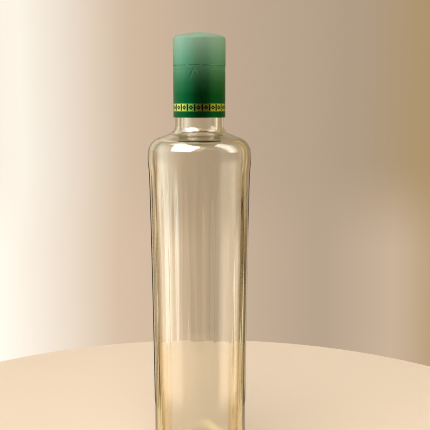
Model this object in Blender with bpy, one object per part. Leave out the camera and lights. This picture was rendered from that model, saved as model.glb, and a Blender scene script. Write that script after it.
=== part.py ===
"""A clear glass bottle of the half-litre class with a long green screw closure.

Two pieces: the glass, a turned shell that is open at its mouth, and the closure, a turned
aluminium cup over the neck, with a ring of slits a third of the way down where it tears.
Metres, +Z up, with the origin at the middle of the foot, on what the bottle stands on.
"""
import math

import bmesh
import bpy

MM = 0.001

# Driving dimensions
TOTAL_HEIGHT = 286.2 * MM
TOUCH_GAP = 0.3 * MM
SEGMENTS = 60

# Closure
CLOSURE_HEIGHT = 51.9 * MM
CROWN_EDGE_SLOPE = 18.0
CAP_RADIUS = 16.3 * MM
SKIRT_RADIUS = 16.2 * MM
CROWN_THICKNESS = 2.4 * MM
RIM_ROUNDING = 2.4 * MM
EDGE_ROLL = 0.35 * MM

# Tear line and the shallow rolled groove under it
TEAR_LINE_ABOVE_EDGE = 31.6 * MM
TEAR_GROOVE_DEPTH = 0.3 * MM
TEAR_GROOVE_HALF_HEIGHT = 0.35 * MM
SKIRT_GROOVE_BELOW_TEAR = 2.8 * MM
SKIRT_GROOVE_HALF_HEIGHT = 0.8 * MM
SKIRT_GROOVE_DEPTH = 0.12 * MM
SLIT_COUNT = 12
SLIT_BRIDGE = 1.6 * MM
SLIT_HEIGHT = 0.3 * MM
SLIT_OVERCUT = 1.0 * MM
SLIT_STEPS = 4

# Neck and shoulder
NECK_RADIUS = 15.1 * MM
NECK_WALL = 4.7 * MM
NECK_FILLET = 5.0 * MM
LIP_ROUNDING = 1.4 * MM
SHOULDER_SLOPE = 21.6
SHOULDER_ROUNDING = 9.9 * MM
SHOULDER_ARC_RADIAL = 22.35 * MM
SHOULDER_ARC_HEIGHT = 212.2 * MM
INNER_ROUNDING = 6.6 * MM
INNER_CORNER = 9.7 * MM

# Body: a gentle taper to the heel, and a soft bead round the shoulder
HEEL_RADIUS = 29.4 * MM
TAPER_TOP_RADIUS = 31.9 * MM
TAPER_TOP_HEIGHT = 210.0 * MM
TAPER_EASE = 1.75
BEAD_RISE = 0.6 * MM
BEAD_HEIGHT = 208.5 * MM
BEAD_SPREAD = 6.0 * MM
BEAD_FOOT = BEAD_HEIGHT - 2.4 * BEAD_SPREAD
BODY_WALL = 5.0 * MM
ROUNDING_TO_BEAD = 2.2 * MM

# Foot and floor
HEEL_ROUNDING = 5.0 * MM
FOOT_RING_INNER = 22.6 * MM
PUSH_UP = 3.2 * MM
FLOOR_THICKNESS = 8.0 * MM
FLOOR_DROP = 1.2 * MM
FLOOR_CORNER = 9.0 * MM
FLOOR_CORNER_TOP = 14.0 * MM

CROWN_SLOPE_ANGLE = math.radians(CROWN_EDGE_SLOPE)
CROWN_RADIUS = CAP_RADIUS - RIM_ROUNDING * (1.0 - math.sin(CROWN_SLOPE_ANGLE))
CROWN_RISE = CROWN_RADIUS * math.tan(CROWN_SLOPE_ANGLE) / 2.0
CLOSURE_EDGE_HEIGHT = TOTAL_HEIGHT - CLOSURE_HEIGHT
CLOSURE_BORE = NECK_RADIUS + TOUCH_GAP
CROWN_UNDERSIDE = TOTAL_HEIGHT - CROWN_RISE - CROWN_THICKNESS
LIP_HEIGHT = CROWN_UNDERSIDE - TOUCH_GAP


def remove_everything():
    for old in list(bpy.data.objects):
        bpy.data.objects.remove(old, do_unlink=True)


def spread(first, last, count):
    """Evenly spaced values from first to last, both included."""
    return [first + (last - first) * step / (count - 1) for step in range(count)]


def arc(center, radius, start, end, steps):
    """Points (radial, height) on a round stretch; angles in degrees from straight outward."""
    points = []
    for degrees in spread(start, end, steps + 1):
        angle = math.radians(degrees)
        radial = center[0] + radius * math.cos(angle)
        height = center[1] + radius * math.sin(angle)
        points.append((radial, height))
    return points


def body_radius(height):
    """Outside radius of the body between the heel and the rounding of the shoulder."""
    rise = max(height, 0.0) / TAPER_TOP_HEIGHT
    taper = HEEL_RADIUS + (TAPER_TOP_RADIUS - HEEL_RADIUS) * rise ** TAPER_EASE
    bead = BEAD_RISE * math.exp(-((height - BEAD_HEIGHT) / BEAD_SPREAD) ** 2)
    return taper + bead


def neck_fillet_center():
    """Middle of the hollow rounding between the neck and the slope of the shoulder."""
    slope = math.radians(SHOULDER_SLOPE)
    radial = NECK_RADIUS + NECK_FILLET
    top_radial = SHOULDER_ARC_RADIAL + SHOULDER_ROUNDING * math.sin(slope)
    top_height = SHOULDER_ARC_HEIGHT + SHOULDER_ROUNDING * math.cos(slope)
    slope_height = top_height + (top_radial - radial) * math.tan(slope)
    return radial, slope_height + NECK_FILLET / math.cos(slope)


def outer_neck_and_shoulder():
    """Points from the neck down round the outside of the shoulder."""
    fillet = arc(neck_fillet_center(), NECK_FILLET, 180.0, 270.0 - SHOULDER_SLOPE, 4)
    center = (SHOULDER_ARC_RADIAL, SHOULDER_ARC_HEIGHT)
    return fillet + arc(center, SHOULDER_ROUNDING, 90.0 - SHOULDER_SLOPE, 0.0, 6)


def inner_shoulder_and_neck():
    """Points from the body's wall up under the shoulder and round into the bore."""
    slope = math.radians(SHOULDER_SLOPE)
    wall = body_radius(SHOULDER_ARC_HEIGHT) - BODY_WALL
    center = (wall - INNER_ROUNDING, SHOULDER_ARC_HEIGHT)
    rounding = arc(center, INNER_ROUNDING, 0.0, 90.0 - SHOULDER_SLOPE, 4)
    corner_radial = NECK_RADIUS - NECK_WALL + INNER_CORNER
    rise = (rounding[-1][0] - corner_radial) * math.tan(slope)
    corner_center = (corner_radial, rounding[-1][1] + rise + INNER_CORNER / math.cos(slope))
    return rounding + arc(corner_center, INNER_CORNER, 270.0 - SHOULDER_SLOPE, 180.0, 4)


def body_heights():
    """Heights down the body, close together at the bead and wide apart below it."""
    bead = spread(SHOULDER_ARC_HEIGHT - ROUNDING_TO_BEAD, BEAD_FOOT, 6)
    taper = spread(BEAD_FOOT, HEEL_ROUNDING, 6)
    return bead + taper[1:]


def outside_of_glass():
    """From the lip down the outside to the middle of the foot."""
    lip_center = (NECK_RADIUS - LIP_ROUNDING, LIP_HEIGHT - LIP_ROUNDING)
    points = arc(lip_center, LIP_ROUNDING, 90.0, 0.0, 2)
    points += outer_neck_and_shoulder()
    points += [(body_radius(height), height) for height in body_heights()]
    heel_center = (body_radius(HEEL_ROUNDING) - HEEL_ROUNDING, HEEL_ROUNDING)
    points += arc(heel_center, HEEL_ROUNDING, 0.0, -90.0, 3)[1:]
    for share in spread(1.0, 0.0, 4):
        points.append((FOOT_RING_INNER * share, PUSH_UP * (1.0 - share ** 2)))
    return points


def inside_of_glass():
    """From the middle of the floor up the inside to the lip."""
    floor_center = PUSH_UP + FLOOR_THICKNESS
    floor_edge = floor_center - FLOOR_DROP
    corner_radial = body_radius(floor_center) - BODY_WALL - FLOOR_CORNER
    points = [(0.0, floor_center), (corner_radial / 2.0, floor_center - FLOOR_DROP / 4.0)]
    points += arc((corner_radial, floor_edge + FLOOR_CORNER), FLOOR_CORNER, -90.0, 0.0, 3)
    for height in reversed(body_heights()):
        if height > floor_edge + FLOOR_CORNER_TOP:
            points.append((body_radius(height) - BODY_WALL, height))
    points += inner_shoulder_and_neck()
    lip_center = (NECK_RADIUS - NECK_WALL + LIP_ROUNDING, LIP_HEIGHT - LIP_ROUNDING)
    points += arc(lip_center, LIP_ROUNDING, 180.0, 90.0, 2)
    return points


def outside_of_closure():
    """From the middle of the crown down the outside to the lower edge."""
    rim_height = TOTAL_HEIGHT - CROWN_RISE - RIM_ROUNDING * math.cos(CROWN_SLOPE_ANGLE)
    rim_center = (CAP_RADIUS - RIM_ROUNDING, rim_height)
    points = [(0.0, TOTAL_HEIGHT), (CROWN_RADIUS / 2.0, TOTAL_HEIGHT - CROWN_RISE / 4.0)]
    points += arc(rim_center, RIM_ROUNDING, 90.0 - CROWN_EDGE_SLOPE, 0.0, 4)
    tear = CLOSURE_EDGE_HEIGHT + TEAR_LINE_ABOVE_EDGE
    points.append((CAP_RADIUS, tear + TEAR_GROOVE_HALF_HEIGHT))
    points.append((CAP_RADIUS - TEAR_GROOVE_DEPTH, tear))
    points.append((SKIRT_RADIUS, tear - TEAR_GROOVE_HALF_HEIGHT))
    groove = tear - SKIRT_GROOVE_BELOW_TEAR
    points.append((SKIRT_RADIUS, groove + SKIRT_GROOVE_HALF_HEIGHT))
    points.append((SKIRT_RADIUS - SKIRT_GROOVE_DEPTH, groove))
    points.append((SKIRT_RADIUS, groove - SKIRT_GROOVE_HALF_HEIGHT))
    roll_center = (SKIRT_RADIUS - EDGE_ROLL, CLOSURE_EDGE_HEIGHT + EDGE_ROLL)
    points += arc(roll_center, EDGE_ROLL, 0.0, -90.0, 2)
    return points


def inside_of_closure():
    """From the lower edge up the inside to the middle of the crown's underside."""
    edge = (CLOSURE_BORE, CLOSURE_EDGE_HEIGHT)
    corner = (CLOSURE_BORE, CROWN_UNDERSIDE)
    return [edge, corner, (0.0, CROWN_UNDERSIDE)]


def plain_material(name, color, roughness, metallic, transmission):
    material = bpy.data.materials.new(name)
    material.use_nodes = True
    shader = material.node_tree.nodes["Principled BSDF"]
    shader.inputs["Base Color"].default_value = color
    shader.inputs["Roughness"].default_value = roughness
    shader.inputs["Metallic"].default_value = metallic
    shader.inputs["Transmission Weight"].default_value = transmission
    return material


def turned(name, profile, material):
    """A body turned about +Z from a profile that runs down its outer side."""
    mesh = bpy.data.meshes.new(name)
    vertices = [(radial, 0.0, height) for radial, height in profile]
    edges = [(index, index + 1) for index in range(len(profile) - 1)]
    mesh.from_pydata(vertices, edges, [])
    mesh.materials.append(material)
    body = bpy.data.objects.new(name, mesh)
    bpy.context.collection.objects.link(body)
    screw = body.modifiers.new("Turn", "SCREW")
    screw.steps = SEGMENTS
    screw.render_steps = SEGMENTS
    screw.use_merge_vertices = True
    screw.merge_threshold = 0.00001
    screw.use_smooth_shade = True
    return body


def add_curved_bar(cells, angles, radii, heights):
    """One bar that follows the closure's wall, added to a bmesh as a closed body."""
    corners = ((0, 0), (1, 0), (1, 1), (0, 1))
    rings = []
    for angle in angles:
        ring = []
        for side, level in corners:
            place = (radii[side] * math.cos(angle), radii[side] * math.sin(angle), heights[level])
            ring.append(cells.verts.new(place))
        rings.append(ring)
    for ring, following in zip(rings, rings[1:]):
        for side in range(4):
            other = (side + 1) % 4
            cells.faces.new((ring[side], ring[other], following[other], following[side]))
    cells.faces.new(rings[0])
    cells.faces.new(rings[-1])


def slit_cutter(height):
    """Short bars in a ring, which cut the slits and leave a bridge between each two."""
    pitch = 2.0 * math.pi / SLIT_COUNT
    half_angle = (pitch - SLIT_BRIDGE / CAP_RADIUS) / 2.0
    radii = (CLOSURE_BORE - TOUCH_GAP / 2.0, CAP_RADIUS + SLIT_OVERCUT)
    heights = (height - SLIT_HEIGHT / 2.0, height + SLIT_HEIGHT / 2.0)
    cells = bmesh.new()
    for slit in range(SLIT_COUNT):
        middle = pitch * slit
        angles = spread(middle - half_angle, middle + half_angle, SLIT_STEPS + 1)
        add_curved_bar(cells, angles, radii, heights)
    bmesh.ops.recalc_face_normals(cells, faces=cells.faces)
    mesh = bpy.data.meshes.new("slits")
    cells.to_mesh(mesh)
    cells.free()
    cutter = bpy.data.objects.new("slit_cutter", mesh)
    bpy.context.collection.objects.link(cutter)
    cutter.hide_render = True
    cutter.display_type = "WIRE"
    return cutter


def make_glass():
    material = plain_material("clear_glass", (0.93, 0.90, 0.78, 1.0), 0.02, 0.0, 1.0)
    return turned("glass_bottle", inside_of_glass() + outside_of_glass(), material)


def make_closure():
    material = plain_material("green_closure", (0.01, 0.16, 0.05, 1.0), 0.42, 0.3, 0.0)
    closure = turned("screw_closure", outside_of_closure() + inside_of_closure(), material)
    slits = closure.modifiers.new("Slits", "BOOLEAN")
    slits.operation = "DIFFERENCE"
    slits.solver = "EXACT"
    slits.object = slit_cutter(CLOSURE_EDGE_HEIGHT + TEAR_LINE_ABOVE_EDGE)
    return closure


def main():
    remove_everything()
    make_glass()
    make_closure()


main()
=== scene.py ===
"""The looks of a clear glass bottle with a long green screw closure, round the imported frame.

Metres, +Z up, the bottle's axis on the origin. The camera stands on the -Y side.
"""

import math

import bpy
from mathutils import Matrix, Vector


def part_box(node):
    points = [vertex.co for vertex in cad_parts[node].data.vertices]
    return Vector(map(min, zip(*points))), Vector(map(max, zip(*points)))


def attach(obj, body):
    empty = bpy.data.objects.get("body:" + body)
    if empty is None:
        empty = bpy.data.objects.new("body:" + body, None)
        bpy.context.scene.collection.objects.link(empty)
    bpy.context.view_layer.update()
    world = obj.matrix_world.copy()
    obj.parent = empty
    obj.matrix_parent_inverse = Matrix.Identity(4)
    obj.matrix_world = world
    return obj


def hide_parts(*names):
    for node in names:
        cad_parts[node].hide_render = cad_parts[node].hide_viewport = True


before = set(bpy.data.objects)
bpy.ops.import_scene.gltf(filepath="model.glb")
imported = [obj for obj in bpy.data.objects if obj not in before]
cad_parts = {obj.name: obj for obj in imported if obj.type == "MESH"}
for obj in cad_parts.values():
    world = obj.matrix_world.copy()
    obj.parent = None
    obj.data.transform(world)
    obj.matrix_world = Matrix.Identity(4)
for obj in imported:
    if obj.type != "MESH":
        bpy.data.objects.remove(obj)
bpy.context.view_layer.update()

MM = 0.001
TURN = 2.0 * math.pi

# Outside of the glass, as in the CAD
LIP_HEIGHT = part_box("glass_bottle")[1][2]
LIP_ROUNDING = 1.4 * MM
NECK_RADIUS = 15.1 * MM
NECK_FILLET = 5.0 * MM
SHOULDER_SLOPE = 21.6
SHOULDER_ROUNDING = 9.9 * MM
SHOULDER_ARC = (22.35 * MM, 212.2 * MM)
BEAD_RISE = 0.6 * MM
BEAD_HEIGHT = 208.5 * MM
BEAD_SPREAD = 6.0 * MM
TAPER_TOP_RADIUS = 31.9 * MM
TAPER_TOP_HEIGHT = 210.0 * MM
TAPER_EASE = 1.75
HEEL_RADIUS = 29.4 * MM
HEEL_ROUNDING = 5.0 * MM
FOOT_RING_INNER = 22.6 * MM
PUSH_UP = 3.2 * MM

# Inside of the glass, as in the CAD
NECK_WALL = 4.7 * MM
INNER_CORNER = 9.7 * MM
INNER_ROUNDING = 6.6 * MM
BODY_WALL = 5.0 * MM
FLOOR_THICKNESS = 8.0 * MM
FLOOR_DROP = 1.2 * MM
FLOOR_CORNER = 9.0 * MM

# Unevenness of the inside, between the heights where it fades in and out: how far it sits toward
# +X, and waves, each with its count round the bottle, size in millimetres, turn and drift upward
INNER_SHIFT = -0.4 * MM
WAVES_FADE_IN = (16.0 * MM, 90.0 * MM)
WAVES_FADE_OUT = (165.0 * MM, 212.0 * MM)
INNER_WAVES = [
    (5, 0.18, 0.6, 2.0),
    (9, 0.15, 2.1, -4.0),
    (14, 0.12, 4.0, 3.0),
    (21, 0.09, 5.2, -2.0),
    (29, 0.06, 1.3, 1.0),
    (41, 0.035, 3.3, -1.0),
    (53, 0.025, 0.4, 0.6),
]

# Sizes of the closure, as in the CAD
TOTAL_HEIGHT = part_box("screw_closure")[1][2]
CLOSURE_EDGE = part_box("screw_closure")[0][2]
CAP_RADIUS = 16.3 * MM
SKIRT_RADIUS = 16.2 * MM
CLOSURE_BORE = 15.4 * MM
CROWN_THICKNESS = 2.4 * MM
RIM_ROUNDING = 2.4 * MM
CROWN_EDGE_SLOPE = 18.0
CROWN_RADIUS = CAP_RADIUS - RIM_ROUNDING * (1.0 - math.sin(math.radians(CROWN_EDGE_SLOPE)))
CROWN_RISE = CROWN_RADIUS * math.tan(math.radians(CROWN_EDGE_SLOPE)) / 2.0
EDGE_ROLL = 0.35 * MM
TEAR_HEIGHT = CLOSURE_EDGE + 31.6 * MM
SLIT_COUNT = 12
SLIT_BRIDGE = 1.6 * MM
SKIRT_GROOVE_BELOW_TEAR = 2.8 * MM

# Relief of the closure, softer than the CAD's
TEAR_TURN = math.radians(5.0)
TEAR_HALF_HEIGHT = 0.55 * MM
SLIT_DEPTH = 0.07 * MM
BRIDGE_DEPTH = 0.02 * MM
SLIT_GAP_HALF_HEIGHT = 0.22 * MM
SKIRT_GROOVE_HALF_HEIGHT = 1.2 * MM
SKIRT_GROOVE_DEPTH = 0.14 * MM

# Creases under the tear line: angle from +X in degrees, lean, top and foot below the line, depth
CREASE_HALF_WIDTH = 0.9 * MM
CREASES = [
    (-99.0, -0.45, 0.8 * MM, 9.0 * MM, 0.22 * MM),
    (-103.0, 0.55, 0.8 * MM, 6.5 * MM, 0.16 * MM),
    (68.0, 0.4, 0.8 * MM, 8.0 * MM, 0.18 * MM),
]

# Looks of the glass: a straw tint through its thickness
GLASS_IOR = 1.52
STRAW_COLOR = (0.6, 0.525, 0.2)
STRAW_DENSITY = 40.0

# Painted shade on its surfaces by how they are seen, 0 straight on and 1 along the surface: dark outlines
# and brown and gold edge lines painted in place of reflections, on the inside and the outside of the wall,
# parted by a radius, and the foot. They end where the neck starts.
WALL_MIDDLE_RADIUS = 28.7 * MM
FOOT_SHADE_HEIGHTS = (60.0 * MM, 125.0 * MM)
NECK_SHADE_HEIGHTS = (205.0 * MM, 220.0 * MM)
# No painted edge shade on the neck
NECK_EDGE_SHADE = (1.0, 1.0, 1.0)
INSIDE_EDGE_SHADE = [
    (0.50, (1.0, 1.0, 1.0)),
    (0.64, (0.97, 0.88, 0.72)),
    (0.73, (0.60, 0.44, 0.22)),
    (0.80, (0.05, 0.030, 0.006)),
    (0.95, (0.01, 0.006, 0.001)),
]
OUTSIDE_EDGE_SHADE = [
    (0.40, (1.0, 1.0, 1.0)),
    (0.47, (0.60, 0.48, 0.32)),
    (0.53, (0.66, 0.52, 0.36)),
    (0.59, (1.0, 0.93, 0.80)),
    (0.66, (0.95, 0.86, 0.68)),
    (0.73, (0.50, 0.36, 0.18)),
    (0.78, (0.04, 0.024, 0.005)),
    (0.95, (0.01, 0.006, 0.001)),
]
FOOT_EDGE_SHADE = [
    (0.38, (1.0, 1.0, 1.0)),
    (0.46, (0.90, 0.56, 0.22)),
    (0.52, (1.0, 0.93, 0.62)),
    (0.66, (1.0, 0.86, 0.36)),
    (0.74, (0.10, 0.065, 0.010)),
    (0.90, (0.03, 0.018, 0.002)),
]

# Painted olive shade inside the neck's root, in place of the closure's green and the light held in the
# thick glass there, under a cone that runs between the inside and the outside of the shoulder to its tip
# on the axis. It fades in and out between two pairs of distances from the axis.
ROOT_OLIVE_SHADE = (0.52, 0.53, 0.32)
ROOT_FOOT = 216.0 * MM
ROOT_CONE_TIP = 229.6 * MM
ROOT_FADE_IN = (12.0 * MM, 19.0 * MM)
ROOT_FADE_OUT = (20.5 * MM, 27.0 * MM)

# Looks of the closure, heights in millimetres above its edge
# The lacquer's deep green low down, then a painted sheen that pales it toward the crown
LACQUER_GREEN_AND_SHEEN = [
    (13.7, (0.005, 0.138, 0.036)),
    (21.3, (0.036, 0.188, 0.075)),
    (33.8, (0.150, 0.380, 0.240)),
    (46.1, (0.300, 0.520, 0.400)),
]
LACQUER_METALLIC = [(13.7, 0.95), (46.1, 0.30)]
LACQUER_ROUGHNESS = 0.34
# Painted shade in the gaps of the tear slits
SLIT_GAP_SHADE = (0.045, 0.165, 0.085)
LINER_COLOR = (0.80, 0.74, 0.60)
LINER_RADIUS = CLOSURE_BORE + 0.1 * MM
LINER_TOP = TOTAL_HEIGHT - CROWN_RISE - CROWN_THICKNESS / 2.0

# Ornament band of the closure, in millimetres: gold, with dark diamonds between dark bars
ORNAMENT_GOLD = (0.86, 0.80, 0.17)
ORNAMENT_GROUND = (0.004, 0.020, 0.003)
ORNAMENT_ROUGHNESS = 0.2
ORNAMENT_MIDDLE = 6.2
ORNAMENT_HALF_HEIGHT = 2.3
ORNAMENT_COUNT = 22
ORNAMENT_START = 0.05
ORNAMENT_PITCH = TURN * SKIRT_RADIUS / MM / ORNAMENT_COUNT
DIAMOND_HOLE = 0.50
DIAMOND_REACH = 1.50
BAR_HALF_WIDTH = 0.55
BAR_HALF_HEIGHT = 1.95

# Camera, from where the bottle stands in the 430 by 430 picture; the pitch is in degrees downward
FRAME_PIXELS = 430.0
FOCAL_PIXELS = 800.0
AXIS_PIXEL = 199.5
SENSOR = 36.0
CAMERA_DISTANCE = 0.503
EYE_HEIGHT = 0.242
PITCH = 7.83
CLIP_START = 0.01

# Table, and a round tent with a floor below it
TABLE_RADIUS = 0.303
TABLE_THICKNESS = 0.012
TABLE_COLOR = (0.88, 0.79, 0.69)
TENT_RADIUS = 1.0
TENT_BEND = 0.3
TENT_FLOOR = -0.6
TENT_TOP = 1.3

# Glow of the tent: azimuth, strength and tint. Azimuth 0 is the camera's side, plus is toward +X,
# and 180 is straight behind. The sides and the front are the same low down and high up.
TENT_GLOW_HEIGHTS = (-0.04, 0.15)
WALL_TINT = (1.0, 0.76, 0.55)
WHITE_TINT = (1.0, 0.93, 0.82)
WOOD_TINT = (1.0, 0.66, 0.24)
TENT_SIDES = [
    (-117, 0.95, WHITE_TINT),
    (-68, 0.95, WHITE_TINT),
    (-50, 0.30, WALL_TINT),
    (-20, 0.22, WALL_TINT),
    (45, 0.20, WALL_TINT),
    (63, 0.92, WHITE_TINT),
    (118, 1.15, WHITE_TINT),
]
TENT_BACK_LOW = [
    (-180, 0.61, WALL_TINT),
    (-170, 0.70, WALL_TINT),
    (-158, 1.05, WHITE_TINT),
    (-148, 1.30, WHITE_TINT),
    (-141, 0.60, WOOD_TINT),
    (-133, 0.40, WOOD_TINT),
    (134, 1.15, WHITE_TINT),
    (141, 0.34, WOOD_TINT),
    (153, 0.42, WOOD_TINT),
    (160, 0.60, WALL_TINT),
    (168, 0.48, WALL_TINT),
    (180, 0.61, WALL_TINT),
]
TENT_BACK_HIGH = [
    (-180, 0.54, WALL_TINT),
    (-171, 0.66, WALL_TINT),
    (-160, 1.00, WHITE_TINT),
    (-147, 0.90, WALL_TINT),
    (-134, 0.40, WALL_TINT),
    (130, 0.85, WALL_TINT),
    (138, 0.50, WOOD_TINT),
    (146, 0.70, WALL_TINT),
    (153, 0.42, WOOD_TINT),
    (165, 0.44, WALL_TINT),
    (180, 0.54, WALL_TINT),
]

# Reflector ring: the azimuth toward which the glass mirrors, and the strength there. The tables
# follow each other up the ring, and each pair of heights is where one blends into the next.
RING_RADIUS = 0.14
RING_TOP = 0.232
RING_TINT = (1.0, 0.80, 0.58)
RING_FOOT_TO_LOW = (0.0, 0.024)
RING_LOW_TO_HIGH = (0.125, 0.165)
RING_HIGH_TO_RIM = (0.185, 0.215)
RING_FOOT = [(-180, 0.25), (-156, 0.25), (-140, 0.72), (140, 0.72), (156, 0.25), (180, 0.25)]
RING_LOW = [
    (-180, 0.0),
    (-157, 0.0),
    (-148, 2.0),
    (-140, 0.9),
    (-122, 0.5),
    (-110, 1.0),
    (-100, 5.0),
    (-80, 6.0),
    (-50, 5.8),
    (-36, 1.8),
    (-10, 1.0),
    (4, 0.3),
    (44, 0.2),
    (54, 4.5),
    (64, 6.5),
    (78, 4.6),
    (88, 4.0),
    (100, 5.4),
    (110, 1.0),
    (128, 0.2),
    (145, 0.1),
    (156, 1.3),
    (166, 0.9),
    (174, 0.0),
    (180, 0.0),
]
RING_HIGH = [
    (-180, 0.0),
    (-157, 0.0),
    (-149, 2.2),
    (-140, 0.6),
    (-130, 1.1),
    (-118, 0.1),
    (-106, 3.8),
    (-98, 2.5),
    (-89, 4.2),
    (-80, 2.3),
    (-62, 1.0),
    (-50, 0.7),
    (-44, 0.0),
    (44, 0.1),
    (53, 2.3),
    (70, 3.1),
    (86, 4.4),
    (94, 1.2),
    (104, 0.1),
    (120, 0.3),
    (128, 1.5),
    (138, 0.2),
    (152, 0.9),
    (164, 0.0),
    (180, 0.0),
]
RING_RIM = [(-180, 0.45), (-60, 0.5), (-25, 0.06), (48, 0.03), (70, 0.2), (140, 0.25), (180, 0.45)]

# Upper reflector: azimuth and glow
UPPER_RADIUS = 0.97
UPPER_FOOT = 0.1
UPPER_TOP = 1.25
UPPER_GLOW = [
    (-180, (0.45, 0.37, 0.27)),
    (-158, (0.45, 0.40, 0.30)),
    (-137, (0.52, 0.66, 0.44)),
    (-110, (0.86, 1.10, 1.02)),
    (-80, (0.80, 1.06, 1.04)),
    (-60, (0.28, 0.68, 0.68)),
    (-40, (0.14, 0.56, 0.54)),
    (-22, (0.08, 0.20, 0.14)),
    (-4, (0.01, 0.02, 0.00)),
    (40, (0.01, 0.02, 0.00)),
    (58, (0.28, 0.29, 0.07)),
    (82, (0.34, 0.33, 0.08)),
    (116, (0.28, 0.33, 0.10)),
    (147, (0.20, 0.22, 0.08)),
    (162, (0.30, 0.26, 0.18)),
    (180, (0.45, 0.37, 0.27)),
]

# Lamps: name, azimuth and elevation in degrees, distance, width, height, radiance and colour
LAMP_AIM_HEIGHT = 0.15
WINDOWS = [
    ("window_left", -44.0, 49.0, 0.8, 0.66, 0.66, 15.0, (1.0, 0.97, 0.92)),
    ("window_right", 84.0, 40.0, 0.85, 0.36, 0.85, 6.0, (1.0, 0.95, 0.88)),
    ("skylight_left", -88.0, 64.0, 0.8, 0.40, 0.30, 5.0, (1.0, 0.96, 0.90)),
]
FILL = ("fill", -20.0, 50.0, 1.1, 0.9, 0.9, 4.9, (1.0, 0.88, 0.74))
ROOM_COLOR = (1.0, 0.86, 0.7)
ROOM_STRENGTH = 0.4

# Fineness of the turned meshes, and how light is followed
ON_AXIS = 0.001 * MM
GLASS_SEGMENTS = 300
CLOSURE_SEGMENTS = 360
TABLE_SEGMENTS = 128
TENT_SEGMENTS = 96
RING_SEGMENTS = 180
UPPER_SEGMENTS = 96
GLASS_BOUNCES = 40
MIRROR_BOUNCES = 24
PIXEL_FILTER = 1.0


def spread(first, last, count):
    """Evenly spaced values from first to last, both included."""
    return [first + (last - first) * step / (count - 1) for step in range(count)]


def arc(center, radius, start, end, steps):
    """Points (radial, height) on a round stretch; angles in degrees from straight outward."""
    points = []
    for degrees in spread(start, end, steps + 1):
        angle = math.radians(degrees)
        points.append((center[0] + radius * math.cos(angle), center[1] + radius * math.sin(angle)))
    return points


def straight(radial, start, end, count):
    """Points up or down a wall of one radius, without the two ends."""
    return [(radial, height) for height in spread(start, end, count)[1:-1]]


def body_radius(height):
    """Outside radius of the body between the heel and the rounding of the shoulder."""
    share = max(height, 0.0) / TAPER_TOP_HEIGHT
    taper = HEEL_RADIUS + (TAPER_TOP_RADIUS - HEEL_RADIUS) * share ** TAPER_EASE
    return taper + BEAD_RISE * math.exp(-((height - BEAD_HEIGHT) / BEAD_SPREAD) ** 2)


def neck_fillet_center():
    """Middle of the hollow rounding between the neck and the slope of the shoulder."""
    slope = math.radians(SHOULDER_SLOPE)
    radial = NECK_RADIUS + NECK_FILLET
    top_radial = SHOULDER_ARC[0] + SHOULDER_ROUNDING * math.sin(slope)
    top_height = SHOULDER_ARC[1] + SHOULDER_ROUNDING * math.cos(slope)
    slope_height = top_height + (top_radial - radial) * math.tan(slope)
    return radial, slope_height + NECK_FILLET / math.cos(slope)


def outer_neck_and_shoulder():
    """Points from the neck down round the outside of the shoulder."""
    fillet = arc(neck_fillet_center(), NECK_FILLET, 180.0, 270.0 - SHOULDER_SLOPE, steps=12)
    return fillet + arc(SHOULDER_ARC, SHOULDER_ROUNDING, 90.0 - SHOULDER_SLOPE, 0.0, steps=24)


def inner_shoulder_and_neck():
    """Points from the body's wall up under the shoulder and round into the bore."""
    slope = math.radians(SHOULDER_SLOPE)
    height = SHOULDER_ARC[1]
    center = (body_radius(height) - BODY_WALL - INNER_ROUNDING, height)
    rounding = arc(center, INNER_ROUNDING, 0.0, 90.0 - SHOULDER_SLOPE, steps=20)
    corner_radial = NECK_RADIUS - NECK_WALL + INNER_CORNER
    climb = (rounding[-1][0] - corner_radial) * math.tan(slope)
    corner_center = (corner_radial, rounding[-1][1] + climb + INNER_CORNER / math.cos(slope))
    return rounding + arc(corner_center, INNER_CORNER, 270.0 - SHOULDER_SLOPE, 180.0, steps=12)


def outside_of_glass():
    """From the lip down the outside to the middle of the foot."""
    lip_center = (NECK_RADIUS - LIP_ROUNDING, LIP_HEIGHT - LIP_ROUNDING)
    points = arc(lip_center, LIP_ROUNDING, 90.0, 0.0, steps=5)
    shoulder = outer_neck_and_shoulder()
    points += straight(NECK_RADIUS, points[-1][1], shoulder[0][1], count=24)
    points += shoulder
    heights = spread(SHOULDER_ARC[1], HEEL_ROUNDING, count=70)
    points += [(body_radius(height), height) for height in heights[1:]]
    heel_center = (body_radius(HEEL_ROUNDING) - HEEL_ROUNDING, HEEL_ROUNDING)
    points += arc(heel_center, HEEL_ROUNDING, 0.0, -90.0, steps=12)[1:]
    for share in spread(1.0, 0.0, count=12):
        points.append((FOOT_RING_INNER * share, PUSH_UP * (1.0 - share ** 2)))
    return points


def inside_of_glass():
    """From the middle of the floor up the inside to the lip."""
    floor_height = PUSH_UP + FLOOR_THICKNESS
    corner_center = (
        body_radius(floor_height) - BODY_WALL - FLOOR_CORNER,
        floor_height - FLOOR_DROP + FLOOR_CORNER,
    )
    points = []
    for share in spread(0.0, 1.0, count=8):
        points.append((corner_center[0] * share, floor_height - FLOOR_DROP * share ** 2))
    points += arc(corner_center, FLOOR_CORNER, -90.0, 0.0, steps=12)[1:]
    shoulder = inner_shoulder_and_neck()
    heights = spread(corner_center[1], shoulder[0][1], count=64)
    points += [(body_radius(height) - BODY_WALL, height) for height in heights[1:-1]]
    points += shoulder
    lip_center = (NECK_RADIUS - NECK_WALL + LIP_ROUNDING, LIP_HEIGHT - LIP_ROUNDING)
    lip = arc(lip_center, LIP_ROUNDING, 180.0, 90.0, steps=5)
    points += straight(lip[0][0], shoulder[-1][1], lip[0][1], count=24)
    return points + lip


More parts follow.
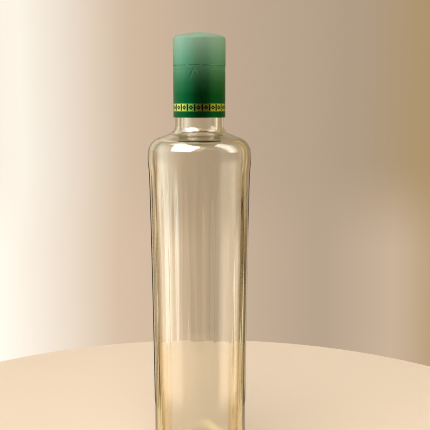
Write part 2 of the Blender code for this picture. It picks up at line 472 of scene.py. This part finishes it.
def closure_profile():
    """From the middle of the crown over its rim and down to the edge, then the three inner points."""
    rim_height = TOTAL_HEIGHT - CROWN_RISE - RIM_ROUNDING * math.cos(math.radians(CROWN_EDGE_SLOPE))
    rim_center = (CAP_RADIUS - RIM_ROUNDING, rim_height)
    underside = TOTAL_HEIGHT - CROWN_RISE - CROWN_THICKNESS
    points = []
    for share in spread(0.0, 1.0, count=16)[:-1]:
        points.append((CROWN_RADIUS * share, TOTAL_HEIGHT - CROWN_RISE * share ** 2))
    points += arc(rim_center, RIM_ROUNDING, 90.0 - CROWN_EDGE_SLOPE, 0.0, steps=12)
    tear_top = TEAR_HEIGHT + TEAR_HALF_HEIGHT
    tear_foot = TEAR_HEIGHT - TEAR_HALF_HEIGHT
    points += straight(CAP_RADIUS, rim_center[1], tear_top, count=20)
    points += [(CAP_RADIUS, height) for height in spread(tear_top, TEAR_HEIGHT, count=5)[:-1]]
    points += [(SKIRT_RADIUS, height) for height in spread(TEAR_HEIGHT, tear_foot, count=5)[:-1]]
    roll_center = (SKIRT_RADIUS - EDGE_ROLL, CLOSURE_EDGE + EDGE_ROLL)
    points += [(SKIRT_RADIUS, height) for height in spread(tear_foot, roll_center[1], count=110)[:-1]]
    points += arc(roll_center, EDGE_ROLL, 0.0, -90.0, steps=5)
    return points + [(CLOSURE_BORE, CLOSURE_EDGE), (CLOSURE_BORE, underside), (0.0, underside)]


def lathe(name, profile, segments, moved):
    """A mesh turned about +Z; moved(step, angle, radial, height) gives each point's radius."""
    vertices = []
    rings = []
    for step, (radial, height) in enumerate(profile):
        if radial < ON_AXIS:
            rings.append([len(vertices)] * segments)
            vertices.append((0.0, 0.0, height))
            continue
        rings.append(list(range(len(vertices), len(vertices) + segments)))
        for segment in range(segments):
            angle = TURN * segment / segments
            reach = moved(step, angle, radial, height)
            vertices.append((reach * math.cos(angle), reach * math.sin(angle), height))
    faces = []
    for ring, following in zip(rings, rings[1:]):
        for segment in range(segments):
            after = (segment + 1) % segments
            corners = [ring[segment], following[segment], following[after], ring[after]]
            face = [corner for place, corner in enumerate(corners) if corner != corners[place - 1]]
            if len(face) > 2:
                faces.append(face)
    mesh = bpy.data.meshes.new(name)
    mesh.from_pydata(vertices, [], faces)
    mesh.validate()
    mesh.shade_smooth()
    piece = bpy.data.objects.new(name, mesh)
    bpy.context.collection.objects.link(piece)
    return piece


def still(step, angle, radial, height):
    """For a plainly turned mesh: each point keeps its radius."""
    return radial


def between(value, low, high):
    """0 below low, 1 above high, and a smooth rise from one to the other."""
    share = min(1.0, max(0.0, (value - low) / (high - low)))
    return share * share * (3.0 - 2.0 * share)


def bump_share(offset, half_width):
    """1 in the middle of a rounded groove or dent, 0 outside it."""
    share = max(0.0, 1.0 - (offset / half_width) ** 2)
    return share * share


def make_glass():
    """The bottle's glass, its inside set a little aside and gently wavy, as blown glass is."""
    inside = inside_of_glass()
    inner_rings = len(inside)

    def moved(step, angle, radial, height):
        if step >= inner_rings:
            return radial
        share = between(height, *WAVES_FADE_IN) * (1.0 - between(height, *WAVES_FADE_OUT))
        offset = INNER_SHIFT * math.cos(angle)
        for count, size, turn, drift in INNER_WAVES:
            offset += size * MM * math.cos(count * angle + turn + drift * height / SHOULDER_ARC[1])
        return radial + share * offset

    return lathe("bottle_glass", inside + outside_of_glass(), GLASS_SEGMENTS, moved)


def make_closure():
    """The closure with its tear slits, the rolled groove under them and the creases beside."""
    profile = closure_profile()
    outer_rings = len(profile) - 3
    pitch = TURN / SLIT_COUNT
    half_pitch = pitch * CAP_RADIUS / 2.0

    def moved(step, angle, radial, height):
        if step >= outer_rings or radial < CAP_RADIUS - RIM_ROUNDING:
            return radial
        from_middle = abs((angle - TEAR_TURN) % pitch - pitch / 2.0) * CAP_RADIUS
        slit = 1.0 - between(from_middle, half_pitch - SLIT_BRIDGE, half_pitch)
        depth = BRIDGE_DEPTH + (SLIT_DEPTH - BRIDGE_DEPTH) * slit
        depth *= bump_share(height - TEAR_HEIGHT, TEAR_HALF_HEIGHT)
        groove = height - (TEAR_HEIGHT - SKIRT_GROOVE_BELOW_TEAR)
        depth += SKIRT_GROOVE_DEPTH * bump_share(groove, SKIRT_GROOVE_HALF_HEIGHT)
        below = TEAR_HEIGHT - height
        for start, lean, top, foot, size in CREASES:
            if top < below < foot:
                middle = math.radians(start) + lean * (below - top) / SKIRT_RADIUS
                aside = math.remainder(angle - middle, TURN) * SKIRT_RADIUS
                along = (below - top) / (foot - top)
                depth += size * bump_share(aside, CREASE_HALF_WIDTH) * bump_share(along - 0.5, 0.5)
        return radial - depth

    return lathe("closure_shell", profile, CLOSURE_SEGMENTS, moved)


class Tree:
    """Adds and links the nodes of one material or world."""

    def __init__(self, owner):
        """Clears the owner's nodes."""
        owner.use_nodes = True
        self.nodes = owner.node_tree.nodes
        self.links = owner.node_tree.links
        self.nodes.clear()

    def add(self, kind, settings=None, **inputs):
        """A node with its settings and inputs; a space in an input's name is written as _."""
        node = self.nodes.new(kind)
        for key, value in (settings or {}).items():
            setattr(node, key, value)
        for key, value in inputs.items():
            self.feed(node.inputs[key.replace("_", " ")], value)
        return node

    def feed(self, socket, value):
        """Links an output to a socket, or sets the socket to a value."""
        if isinstance(value, bpy.types.NodeSocket):
            self.links.new(value, socket)
        else:
            socket.default_value = value

    def calc(self, operation, *values):
        """The output of a math node."""
        node = self.nodes.new("ShaderNodeMath")
        node.operation = operation
        for socket, value in zip(node.inputs, values):
            self.feed(socket, value)
        return node.outputs[0]


def with_alpha(color):
    """A colour as Blender's sockets take it."""
    return (*color, 1.0)


def rise(tree, value, low, high, easing="SMOOTHSTEP"):
    """0 below low, 1 above high, and a steady rise between them."""
    node = tree.add("ShaderNodeMapRange", {"interpolation_type": easing}, From_Min=low, From_Max=high)
    tree.feed(node.inputs["Value"], value)
    return node.outputs[0]


def opposite(tree, share):
    """1 where the share is 0, and 0 where it is 1."""
    return tree.calc("SUBTRACT", 1.0, share)


def product(tree, first, *others):
    """The shares multiplied, so 1 only where all of them are."""
    for other in others:
        first = tree.calc("MULTIPLY", first, other)
    return first


def blend(tree, share, first, second, how="MIX"):
    """The first colour where share is 0, the second, or both multiplied, where it is 1."""
    node = tree.add("ShaderNodeMix", {"data_type": "RGBA", "blend_type": how})
    tree.feed(node.inputs[0], share)
    for socket, color in ((node.inputs[6], first), (node.inputs[7], second)):
        tree.feed(socket, with_alpha(color) if isinstance(color, tuple) else color)
    return node.outputs[2]


def ramp(tree, stops, factor):
    """A colour ramp through the stops (position, linear colour)."""
    node = tree.add("ShaderNodeValToRGB")
    bar = node.color_ramp
    bar.interpolation = "LINEAR"
    while len(bar.elements) > 1:
        bar.elements.remove(bar.elements[-1])
    bar.elements[0].position = stops[0][0]
    bar.elements[0].color = with_alpha(stops[0][1])
    for position, color in stops[1:]:
        bar.elements.new(position).color = with_alpha(color)
    tree.links.new(factor, node.inputs[0])
    return node.outputs[0]


def object_place(tree):
    """Where a point lies on its piece, as x, y and height."""
    node = tree.add("ShaderNodeTexCoord")
    return tree.add("ShaderNodeSeparateXYZ", Vector=node.outputs["Object"]).outputs


def from_axis(tree, x, y):
    """The distance from the bottle's axis."""
    square = tree.calc("MULTIPLY", x, x)
    return tree.calc("SQRT", tree.calc("MULTIPLY_ADD", y, y, square))


def glass_edge_shade(tree, away, height):
    """The painted edge shade by how the glass is seen: the foot's low down, then the wall's, then the
    neck's.
    """
    facing = tree.add("ShaderNodeLayerWeight", Blend=0.5).outputs["Facing"]
    # Painted edge shade of the foot, the inside and the outside: dark outlines and brown and gold lines
    foot, inside, outside = (ramp(tree, stops, facing) for stops in (FOOT_EDGE_SHADE, INSIDE_EDGE_SHADE, OUTSIDE_EDGE_SHADE))
    tint = blend(tree, tree.calc("GREATER_THAN", away, WALL_MIDDLE_RADIUS), inside, outside)
    tint = blend(tree, rise(tree, height, *NECK_SHADE_HEIGHTS), tint, NECK_EDGE_SHADE)
    return blend(tree, rise(tree, height, *FOOT_SHADE_HEIGHTS), foot, tint)


def root_shade_share(tree, away, height):
    """How far the painted olive shade of the neck's root shows."""
    cone = tree.calc("MULTIPLY_ADD", away, math.tan(math.radians(SHOULDER_SLOPE)), height)
    under = tree.calc("LESS_THAN", cone, ROOT_CONE_TIP)
    above_foot = tree.calc("GREATER_THAN", height, ROOT_FOOT)
    fade_in = rise(tree, away, *ROOT_FADE_IN)
    fade_out = opposite(tree, rise(tree, away, *ROOT_FADE_OUT))
    return product(tree, under, above_foot, fade_in, fade_out)


def glass_material():
    """Clear glass with a weak straw tint, and painted shade: darker where it is seen along its surface,
    olive at the neck's root.
    """
    material = bpy.data.materials.new("straw_clear_glass")
    tree = Tree(material)
    x, y, height = object_place(tree)
    away = from_axis(tree, x, y)
    # The colour carries painted edge shade, in place of dark and golden reflections
    tint = glass_edge_shade(tree, away, height)
    # Painted olive shade at the neck's root, multiplied in
    tint = blend(tree, root_shade_share(tree, away, height), tint, ROOT_OLIVE_SHADE, "MULTIPLY")
    shader = tree.add(
        "ShaderNodeBsdfPrincipled", Base_Color=tint, Roughness=0.0, IOR=GLASS_IOR, Transmission_Weight=1.0
    )
    straw = tree.add("ShaderNodeVolumeAbsorption", Color=with_alpha(STRAW_COLOR), Density=STRAW_DENSITY)
    tree.add("ShaderNodeOutputMaterial", Surface=shader.outputs[0], Volume=straw.outputs[0])
    return material


def ornament(tree, around, up):
    """Where the ornament band is gold, round its dark diamonds and bars, and where the band is."""
    cell = tree.calc("MULTIPLY_ADD", around, float(ORNAMENT_COUNT), ORNAMENT_START)
    aside = tree.calc("SUBTRACT", tree.calc("FRACT", cell), 0.5)
    aside = tree.calc("ABSOLUTE", tree.calc("MULTIPLY", aside, ORNAMENT_PITCH))
    away = tree.calc("ABSOLUTE", tree.calc("SUBTRACT", up, ORNAMENT_MIDDLE))
    reach = tree.calc("ADD", away, aside)
    outside_hole = tree.calc("GREATER_THAN", reach, DIAMOND_HOLE)
    diamond = product(tree, outside_hole, tree.calc("LESS_THAN", reach, DIAMOND_REACH))
    beside = tree.calc("GREATER_THAN", aside, ORNAMENT_PITCH / 2.0 - BAR_HALF_WIDTH)
    bar = product(tree, beside, tree.calc("LESS_THAN", away, BAR_HALF_HEIGHT))
    band = tree.calc("LESS_THAN", away, ORNAMENT_HALF_HEIGHT)
    dark = tree.calc("MAXIMUM", diamond, bar)
    return product(tree, band, opposite(tree, dark)), band


def slit_gap_shade(tree, around, up):
    """Where painted shade marks the open gaps of the tear slits, between their bridges."""
    cell = tree.calc("MULTIPLY_ADD", around, float(SLIT_COUNT), -TEAR_TURN / TURN * SLIT_COUNT)
    from_middle = tree.calc("ABSOLUTE", tree.calc("SUBTRACT", tree.calc("FRACT", cell), 0.5))
    open_share = 0.5 - SLIT_BRIDGE / 2.0 / (TURN * CAP_RADIUS / SLIT_COUNT)
    tear = (TEAR_HEIGHT - CLOSURE_EDGE) / MM
    away = tree.calc("ABSOLUTE", tree.calc("SUBTRACT", up, tear))
    level = tree.calc("LESS_THAN", away, SLIT_GAP_HALF_HEIGHT / MM)
    return product(tree, level, tree.calc("LESS_THAN", from_middle, open_share))


def closure_material():
    """Green lacquered aluminium with a painted sheen that pales it toward the crown, painted shade in the
    tear slits, and a gold ornament band.
    """
    material = bpy.data.materials.new("green_lacquered_aluminium")
    tree = Tree(material)
    x, y, height = object_place(tree)
    around = tree.calc("MULTIPLY", tree.calc("ARCTAN2", y, x), 1.0 / TURN)
    up = tree.calc("MULTIPLY_ADD", height, 1.0 / MM, -CLOSURE_EDGE / MM)
    gold, ground = ornament(tree, around, up)
    full = (TOTAL_HEIGHT - CLOSURE_EDGE) / MM
    stops = [(level / full, color) for level, color in LACQUER_GREEN_AND_SHEEN]
    # Lacquer green with a painted sheen toward the crown
    green_and_sheen = ramp(tree, stops, tree.calc("MULTIPLY", up, 1.0 / full))
    within = tree.calc("LESS_THAN", from_axis(tree, x, y), LINER_RADIUS)
    liner = product(tree, within, tree.calc("LESS_THAN", height, LINER_TOP))
    # Painted shade in the tear slits' gaps
    color = blend(tree, slit_gap_shade(tree, around, up), green_and_sheen, SLIT_GAP_SHADE)
    color = blend(tree, ground, color, ORNAMENT_GROUND)
    color = blend(tree, gold, color, ORNAMENT_GOLD)
    color = blend(tree, liner, color, LINER_COLOR)
    (low, most_metallic), (high, least_metallic) = LACQUER_METALLIC
    dulling = rise(tree, up, low, high, "LINEAR")
    metallic = tree.calc("MULTIPLY_ADD", dulling, least_metallic - most_metallic, most_metallic)
    metallic = product(tree, metallic, opposite(tree, liner))
    roughness = tree.calc("MULTIPLY_ADD", gold, ORNAMENT_ROUGHNESS - LACQUER_ROUGHNESS, LACQUER_ROUGHNESS)
    shader = tree.add("ShaderNodeBsdfPrincipled", Base_Color=color, Metallic=metallic, Roughness=roughness)
    tree.add("ShaderNodeOutputMaterial", Surface=shader.outputs[0])
    return material


def around_and_up(tree):
    """The way round as a share, 0.5 at the camera's side and 0 and 1 straight behind, and the height."""
    x, y, height = object_place(tree)
    angle = tree.calc("ARCTAN2", x, tree.calc("MULTIPLY", y, -1.0))
    return tree.calc("MULTIPLY_ADD", angle, 1.0 / TURN, 0.5), height


def round_ramp(tree, around, stops):
    """A colour that runs round +Z through the stops (azimuth, linear colour)."""
    return ramp(tree, [(azimuth / 360.0 + 0.5, color) for azimuth, color in stops], around)


def tinted(strength, tint):
    """A tint made stronger or weaker."""
    return tuple(strength * part for part in tint)


def glowing(tree, color):
    """Lets the material give off the colour as light."""
    emission = tree.add("ShaderNodeEmission", Color=color, Strength=1.0)
    tree.add("ShaderNodeOutputMaterial", Surface=emission.outputs[0])


def new_material(piece, name):
    """A new material on the piece, as its tree of nodes."""
    material = bpy.data.materials.new(name)
    piece.data.materials.append(material)
    return Tree(material)


def make_table():
    """The round table top that the bottle stands on."""
    points = [(0.0, 0.0), (TABLE_RADIUS, 0.0), (TABLE_RADIUS, -TABLE_THICKNESS), (0.0, -TABLE_THICKNESS)]
    table = lathe("studio_table", points, TABLE_SEGMENTS, still)
    table.data.shade_flat()
    tree = new_material(table, "pale_table")
    diffuse = tree.add("ShaderNodeBsdfDiffuse", Color=with_alpha(TABLE_COLOR))
    tree.add("ShaderNodeOutputMaterial", Surface=diffuse.outputs[0])


def tent_stops(back):
    """The tent's stops (azimuth, colour) from the sides and front and one back."""
    return [(azimuth, tinted(glow, tint)) for azimuth, glow, tint in sorted(TENT_SIDES + back)]


def make_tent():
    """A round light tent with a floor below the table, brighter at both sides."""
    bend_radial = TENT_RADIUS - TENT_BEND
    points = [(0.0, TENT_FLOOR), (bend_radial, TENT_FLOOR)]
    points += arc((bend_radial, TENT_FLOOR + TENT_BEND), TENT_BEND, -90.0, 0.0, steps=16)[1:]
    points.append((TENT_RADIUS, TENT_TOP))
    tent = lathe("studio_tent", points, TENT_SEGMENTS, still)
    tree = new_material(tent, "tent_cloth")
    around, height = around_and_up(tree)
    low = round_ramp(tree, around, tent_stops(TENT_BACK_LOW))
    high = round_ramp(tree, around, tent_stops(TENT_BACK_HIGH))
    glowing(tree, blend(tree, rise(tree, height, *TENT_GLOW_HEIGHTS), low, high))


def make_reflector(name, radius, foot, top, segments):
    """An upright round card that shows only in reflections."""
    card = lathe(name, [(radius, foot), (radius, top)], segments, still)
    card.visible_camera = False
    card.visible_diffuse = False
    card.visible_transmission = False
    card.visible_shadow = False
    return card


def ring_stops(table):
    """The ring's stops (azimuth, colour): the glass mirrors toward a table's azimuth from its own
    surface, so it meets the near ring a little before that azimuth.
    """
    stops = []
    for azimuth, strength in table:
        short = TAPER_TOP_RADIUS * math.sin(math.radians(azimuth) / 2.0) / RING_RADIUS
        stops.append((azimuth - math.degrees(math.asin(short)), tinted(strength, RING_TINT)))
    return stops


def make_ring():
    """A graded reflector card round the bottle, which gives its glass streaks and outlines."""
    ring = make_reflector("reflector_ring", RING_RADIUS, 0.0, RING_TOP, RING_SEGMENTS)
    tree = new_material(ring, "graded_reflector")
    around, height = around_and_up(tree)
    tables = (RING_FOOT, RING_LOW, RING_HIGH, RING_RIM)
    foot, low, high, rim = (round_ramp(tree, around, ring_stops(table)) for table in tables)
    glow = blend(tree, rise(tree, height, *RING_FOOT_TO_LOW), foot, low)
    glow = blend(tree, rise(tree, height, *RING_LOW_TO_HIGH), glow, high)
    glowing(tree, blend(tree, rise(tree, height, *RING_HIGH_TO_RIM), glow, rim))


def make_upper_reflector():
    """A graded card high round the stage, for the reflections on the closure and the shoulder."""
    card = make_reflector("upper_reflector", UPPER_RADIUS, UPPER_FOOT, UPPER_TOP, UPPER_SEGMENTS)
    tree = new_material(card, "graded_upper_reflector")
    around, height = around_and_up(tree)
    glowing(tree, round_ramp(tree, around, UPPER_GLOW))


def round_place(azimuth, elevation, distance, height):
    """A place round the bottle, seen from that height on its axis."""
    turn = math.radians(azimuth)
    lift = math.radians(elevation)
    return (
        distance * math.sin(turn) * math.cos(lift),
        -distance * math.cos(turn) * math.cos(lift),
        height + distance * math.sin(lift),
    )


def softbox(name, azimuth, elevation, distance, width, height, radiance, color):
    """A soft area light that faces the bottle, unseen by the camera and giving no diffuse light."""
    light = bpy.data.lights.new(name, "AREA")
    light.shape = "RECTANGLE"
    light.size = width
    light.size_y = height
    light.energy = radiance * math.pi * width * height
    light.color = color
    lamp = bpy.data.objects.new(name, light)
    bpy.context.collection.objects.link(lamp)
    lamp.location = round_place(azimuth, elevation, distance, LAMP_AIM_HEIGHT)
    lamp.rotation_euler = (math.pi / 2.0 - math.radians(elevation), 0.0, math.radians(azimuth))
    lamp.visible_camera = False
    lamp.visible_diffuse = False
    return lamp


def only_on(lamps, piece):
    """Keeps the lamps' light to one piece."""
    lit = bpy.data.collections.new("lit_by_windows")
    lit.objects.link(piece)
    for lamp in lamps:
        lamp.light_linking.receiver_collection = lit


def make_lights(glass):
    """Window lamps whose reflections only the glass shows, and a fill light without reflections."""
    only_on([softbox(*window) for window in WINDOWS], glass)
    fill = softbox(*FILL)
    fill.visible_diffuse = True
    fill.visible_glossy = False


def make_room():
    """A dim even glow from beyond the stage."""
    world = bpy.data.worlds.new("dim_room")
    bpy.context.scene.world = world
    tree = Tree(world)
    glow = tree.add("ShaderNodeBackground", Color=with_alpha(ROOM_COLOR), Strength=ROOM_STRENGTH)
    tree.add("ShaderNodeOutputWorld", Surface=glow.outputs[0])


def make_camera():
    """The camera, level with the closure, a little to one side of the bottle's axis and tilted down."""
    data = bpy.data.cameras.new("camera")
    data.sensor_width = SENSOR
    data.lens = SENSOR * FOCAL_PIXELS / FRAME_PIXELS
    data.clip_start = CLIP_START
    camera = bpy.data.objects.new("camera", data)
    bpy.context.collection.objects.link(camera)
    aside = (FRAME_PIXELS / 2.0 - AXIS_PIXEL) / FOCAL_PIXELS * CAMERA_DISTANCE
    camera.location = (aside, -CAMERA_DISTANCE, EYE_HEIGHT)
    camera.rotation_euler = (math.radians(90.0 - PITCH), 0.0, 0.0)
    bpy.context.scene.camera = camera


def set_up_render():
    """How colours are shown, and how often light is followed through the glass."""
    scene = bpy.context.scene
    scene.view_settings.view_transform = "Standard"
    scene.cycles.max_bounces = GLASS_BOUNCES
    scene.cycles.transmission_bounces = GLASS_BOUNCES
    scene.cycles.glossy_bounces = MIRROR_BOUNCES
    scene.cycles.filter_width = PIXEL_FILTER


def stand_for(piece, node, material):
    """Puts a piece in the place of a CAD node, with its material."""
    piece.data.materials.append(material)
    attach(piece, "root")
    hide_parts(node)


make_camera()
make_table()
make_tent()
make_ring()
make_upper_reflector()
glass = make_glass()
make_lights(glass)
make_room()
stand_for(glass, "glass_bottle", glass_material())
stand_for(make_closure(), "screw_closure", closure_material())
set_up_render()
